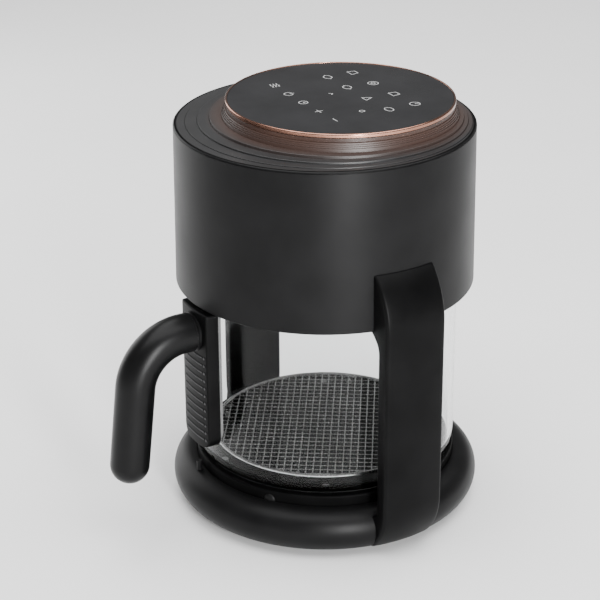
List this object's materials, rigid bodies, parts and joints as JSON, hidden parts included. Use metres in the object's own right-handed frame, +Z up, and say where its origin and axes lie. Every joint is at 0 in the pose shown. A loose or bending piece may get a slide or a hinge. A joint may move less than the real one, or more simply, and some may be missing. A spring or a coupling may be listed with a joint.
{
  "type": "air fryer with glass jar",
  "caption": "Table-top air fryer: drum head with a terraced touch-panel top, two side columns, round base, and a clear glass jar with a tube handle and a wire rack that pulls out.",
  "frame": {"origin": "centre of the round footprint on the table, under the base", "axes": "+Z up; the jar pulls out and its handle points along -Y; the columns stand at +X and -X"},
  "size_m": [0.278, 0.3216, 0.3407],
  "materials": {
    "satin_black": "satin",
    "handle_black": "satin",
    "panel_glass": "gloss",
    "rose_gold": "polished",
    "clear_glass": "clear",
    "stainless_wire": "polished",
    "silicone": "matte",
    "foot_rubber": "matte",
    "sheet_steel": "brushed",
    "ballast_iron": "rough",
    "zinc_screw": "satin",
    "board_green": "matte",
    "component_black": "gloss",
    "white_plastic": "matte",
    "shield_aluminium": "satin",
    "heater_sheath": "satin",
    "insulation_wool": "rough",
    "copper_winding": "satin",
    "core_steel": "satin",
    "brass_insert": "satin"
  },
  "bodies": {
    "frame": {"air_sensor": "zinc_screw", "ballast_plate": "ballast_iron", "base_cover": "satin_black", "base_screws": "zinc_screw", "base_shell": "satin_black", "bezel_ring": "rose_gold", "board_posts": "white_plastic", "column_bar_far": "sheet_steel", "column_bar_near": "sheet_steel", "column_cover_far": "satin_black", "column_cover_near": "satin_black", "column_liner_far": "satin_black", "column_liner_near": "satin_black", "column_screws": "zinc_screw", "control_board": "board_green", "cord_gland": "foot_rubber", "floor_screws": "zinc_screw", "foot_ring": "foot_rubber", "guard_grille": "stainless_wire", "head_floor": "satin_black", "head_shell": "satin_black", "heat_insulation": "insulation_wool", "heat_shield": "shield_aluminium", "heating_element": "heater_sheath", "jar_seal": "silicone", "jar_seat": "satin_black", "key_springs": "brass_insert", "locating_peg": "satin_black", "motor_bearings": "zinc_screw", "motor_case": "sheet_steel", "motor_plate": "sheet_steel", "motor_screws": "zinc_screw", "motor_stator": "copper_winding", "power_board": "board_green", "power_parts": "component_black", "rear_grille": "satin_black", "reed_switch": "component_black", "seat_pads": "silicone", "terminal_block": "white_plastic", "thermal_cutout": "component_black", "top_cover": "satin_black", "touch_carrier": "component_black", "touch_glass": "panel_glass"},
    "rotor": {"motor_shaft": "sheet_steel", "motor_armature": "core_steel", "hot_fan": "shield_aluminium", "cooling_fan": "component_black", "fan_nut": "zinc_screw"},
    "jar": {"glass_jar": "clear_glass", "handle_bracket": "handle_black", "sensor_magnet": "zinc_screw", "bracket_pad": "silicone", "handle_grip": "handle_black", "handle_insert": "brass_insert", "handle_bolt": "zinc_screw"},
    "rack": {"rack_rim": "stainless_wire", "rack_wires_across": "stainless_wire", "rack_wires_along": "stainless_wire", "rack_feet": "silicone", "rack_legs": "stainless_wire"}
  },
  "joints": [
    {"name": "jar_pull", "type": "slide", "parent": "frame", "child": "jar", "axis": [0, -1, 0], "range_m": [0, 0.26]},
    {"name": "rack_lift", "type": "slide", "parent": "jar", "child": "rack", "axis": [0, 0, 1], "range_m": [0, 0.11]},
    {"name": "fan_spin", "type": "hinge", "parent": "frame", "child": "rotor", "pos_m": [0, 0, 0.25], "axis": [0, 0, 1], "continuous": true}
  ]
}
